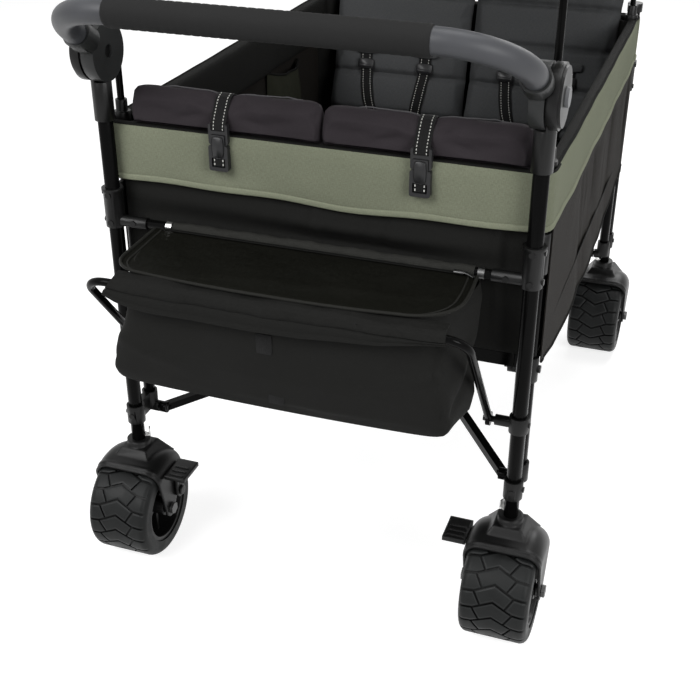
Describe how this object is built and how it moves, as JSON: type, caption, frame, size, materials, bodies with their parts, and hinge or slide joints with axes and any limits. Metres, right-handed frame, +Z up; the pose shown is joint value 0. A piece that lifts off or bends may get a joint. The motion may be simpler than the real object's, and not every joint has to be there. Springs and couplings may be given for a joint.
{
  "type": "stroller wagon",
  "caption": "Folding stroller wagon with a padded cloth tub, facing seats, push handle on tilting hubs, zipped rear basket, canopy and chevron-tread swivel casters with foot brakes.",
  "frame": {"origin": "middle of the overall box at ground level", "axes": "+Z up, +Y the travel direction with the push handle at -Y, +X to the pusher's right"},
  "size_m": [0.6526, 1.038, 1.1103],
  "materials": {
    "frame_paint": "satin black powder coat",
    "black_plastic": "moulded, fine grain",
    "grey_plastic": "moulded, satin",
    "bright_steel": "zinc plated",
    "tyre": "moulded foam rubber",
    "sage_fabric": "melange weave, padded",
    "black_fabric": "woven polyester",
    "charcoal_fabric": "woven polyester over foam",
    "grey_fabric": "woven polyester over foam, channelled",
    "handle_foam": "foam sleeve"
  },
  "bodies": {
    "rear_frame": {"rear_posts": "frame_paint", "rear_rim_tubes": "frame_paint", "rear_upper_brackets": "black_plastic", "basket_collars": "black_plastic", "rear_lower_brackets": "black_plastic", "rear_cross_bars": "frame_paint", "hub_bases": "black_plastic", "rear_band": "sage_fabric", "rear_wall": "black_fabric", "rear_seat_backs": "charcoal_fabric", "seat_back_buckles": "black_plastic", "rear_pole_sockets": "black_plastic", "rear_release_tabs": "bright_steel", "basket_bag": "black_fabric", "side_walls": "black_fabric", "side_bands": "sage_fabric"},
    "base_rear": {"base_rear_struts": "frame_paint"},
    "base_front": {"base_front_struts": "frame_paint"},
    "front_frame": {"front_posts": "frame_paint", "front_rim_tubes": "frame_paint", "front_upper_brackets": "black_plastic", "front_lower_brackets": "black_plastic", "front_cross_bars": "frame_paint", "front_band": "sage_fabric", "front_wall": "black_fabric", "front_seat_backs": "grey_fabric", "front_post_caps": "black_plastic", "front_release_tabs": "bright_steel"},
    "floor_rear": {"floor_rear_panel": "black_plastic", "rear_seat_cushions": "grey_fabric"},
    "floor_front": {"floor_front_panel": "black_plastic", "front_seat_cushions": "grey_fabric"},
    "handle": {"handle_bar": "handle_foam", "handle_arms": "grey_plastic"},
    "left_button": {"left_hub_button": "grey_plastic"},
    "right_button": {"right_hub_button": "grey_plastic"},
    "basket_wire": {"basket_frame": "frame_paint"},
    "basket_flap": {"basket_lid": "black_fabric"},
    "canopy_rear": {"rear_canopy_hoop": "frame_paint", "canopy_cover": "sage_fabric"},
    "canopy_front": {"front_canopy_hoop": "frame_paint"},
    "rear_left_caster": {"rear_left_fork": "black_plastic", "rear_left_axle": "bright_steel"},
    "rear_left_wheel": {"rear_left_tyre": "tyre", "rear_left_rim": "black_plastic"},
    "rear_right_caster": {"rear_right_fork": "black_plastic", "rear_right_axle": "bright_steel"},
    "rear_right_wheel": {"rear_right_tyre": "tyre", "rear_right_rim": "black_plastic"},
    "front_left_caster": {"front_left_fork": "black_plastic", "front_left_axle": "bright_steel"},
    "front_left_wheel": {"front_left_tyre": "tyre", "front_left_rim": "black_plastic"},
    "front_right_caster": {"front_right_fork": "black_plastic", "front_right_axle": "bright_steel"},
    "front_right_wheel": {"front_right_tyre": "tyre", "front_right_rim": "black_plastic"},
    "left_brake": {"left_brake_pedal": "black_plastic"},
    "right_brake": {"right_brake_pedal": "black_plastic"}
  },
  "joints": [
    {"name": "fold", "type": "hinge", "parent": "rear_frame", "child": "base_rear", "pos_m": [0, -0.324, 0.206], "axis": [1, 0, 0], "range_deg": [0, 65], "deforming": ["side_walls", "side_bands", "rear_seat_backs", "front_seat_backs", "rear_seat_cushions", "front_seat_cushions", "canopy_cover"]},
    {"name": "fold_centre", "type": "hinge", "parent": "base_rear", "child": "base_front", "pos_m": [0, 0.047, 0.206], "axis": [1, 0, 0], "range_deg": [-130.2, 0.2]},
    {"name": "fold_front", "type": "hinge", "parent": "base_front", "child": "front_frame", "pos_m": [0, 0.418, 0.206], "axis": [1, 0, 0], "range_deg": [-0.1, 65.1]},
    {"name": "floor_fold", "type": "hinge", "parent": "rear_frame", "child": "floor_rear", "pos_m": [0, -0.324, 0.372], "axis": [1, 0, 0], "range_deg": [-0.1, 65.1]},
    {"name": "floor_centre", "type": "hinge", "parent": "floor_rear", "child": "floor_front", "pos_m": [0, 0.047, 0.372], "axis": [1, 0, 0], "range_deg": [-130.2, 0.2]},
    {"name": "handle_tilt", "type": "hinge", "parent": "rear_frame", "child": "handle", "pos_m": [0, -0.366, 0.728], "axis": [1, 0, 0], "range_deg": [-48, 60]},
    {"name": "left_button_press", "type": "slide", "parent": "rear_frame", "child": "left_button", "axis": [1, 0, 0], "range_m": [0, 0.004], "stiffness_N_per_m": 400},
    {"name": "right_button_press", "type": "slide", "parent": "rear_frame", "child": "right_button", "axis": [-1, 0, 0], "range_m": [0, 0.004], "stiffness_N_per_m": 400},
    {"name": "basket_fold", "type": "hinge", "parent": "rear_frame", "child": "basket_wire", "pos_m": [0, -0.366, 0.315], "axis": [-1, 0, 0], "range_deg": [0, 34], "deforming": ["basket_bag", "basket_lid"]},
    {"name": "lid_open", "type": "hinge", "parent": "rear_frame", "child": "basket_flap", "pos_m": [0, -0.3738, 0.5128], "axis": [-1, 0, 0], "range_deg": [0, 75]},
    {"name": "canopy_lift", "type": "slide", "parent": "rear_frame", "child": "canopy_rear", "axis": [0, 0, 1], "range_m": [0, 0.1]},
    {"name": "canopy_lift_front", "type": "slide", "parent": "front_frame", "child": "canopy_front", "axis": [0, 0, 1], "range_m": [-0.0005, 0.1005]},
    {"name": "rear_left_swivel", "type": "hinge", "parent": "rear_frame", "child": "rear_left_caster", "pos_m": [-0.27, -0.366, 0.175], "axis": [0, 0, 1], "continuous": true},
    {"name": "rear_left_spin", "type": "hinge", "parent": "rear_left_caster", "child": "rear_left_wheel", "pos_m": [-0.27, -0.38, 0.073], "axis": [1, 0, 0], "continuous": true},
    {"name": "rear_right_swivel", "type": "hinge", "parent": "rear_frame", "child": "rear_right_caster", "pos_m": [0.27, -0.366, 0.175], "axis": [0, 0, 1], "continuous": true},
    {"name": "rear_right_spin", "type": "hinge", "parent": "rear_right_caster", "child": "rear_right_wheel", "pos_m": [0.27, -0.38, 0.073], "axis": [1, 0, 0], "continuous": true},
    {"name": "front_left_swivel", "type": "hinge", "parent": "front_frame", "child": "front_left_caster", "pos_m": [-0.27, 0.46, 0.175], "axis": [0, 0, 1], "continuous": true},
    {"name": "front_left_spin", "type": "hinge", "parent": "front_left_caster", "child": "front_left_wheel", "pos_m": [-0.27, 0.446, 0.073], "axis": [1, 0, 0], "continuous": true},
    {"name": "front_right_swivel", "type": "hinge", "parent": "front_frame", "child": "front_right_caster", "pos_m": [0.27, 0.46, 0.175], "axis": [0, 0, 1], "continuous": true},
    {"name": "front_right_spin", "type": "hinge", "parent": "front_right_caster", "child": "front_right_wheel", "pos_m": [0.27, 0.446, 0.073], "axis": [1, 0, 0], "continuous": true},
    {"name": "left_brake_press", "type": "hinge", "parent": "rear_left_caster", "child": "left_brake", "pos_m": [-0.216, -0.358, 0.091], "axis": [1, 0, 0], "range_deg": [0, 12]},
    {"name": "right_brake_press", "type": "hinge", "parent": "rear_right_caster", "child": "right_brake", "pos_m": [0.216, -0.358, 0.091], "axis": [1, 0, 0], "range_deg": [0, 12]}
  ],
  "couplings": [
    {"joint": "fold_centre", "follows": "fold", "ratio": -2},
    {"joint": "fold_front", "follows": "fold", "ratio": 1},
    {"joint": "floor_fold", "follows": "fold", "ratio": 1},
    {"joint": "floor_centre", "follows": "fold", "ratio": -2},
    {"joint": "canopy_lift_front", "follows": "canopy_lift", "ratio": 1}
  ]
}
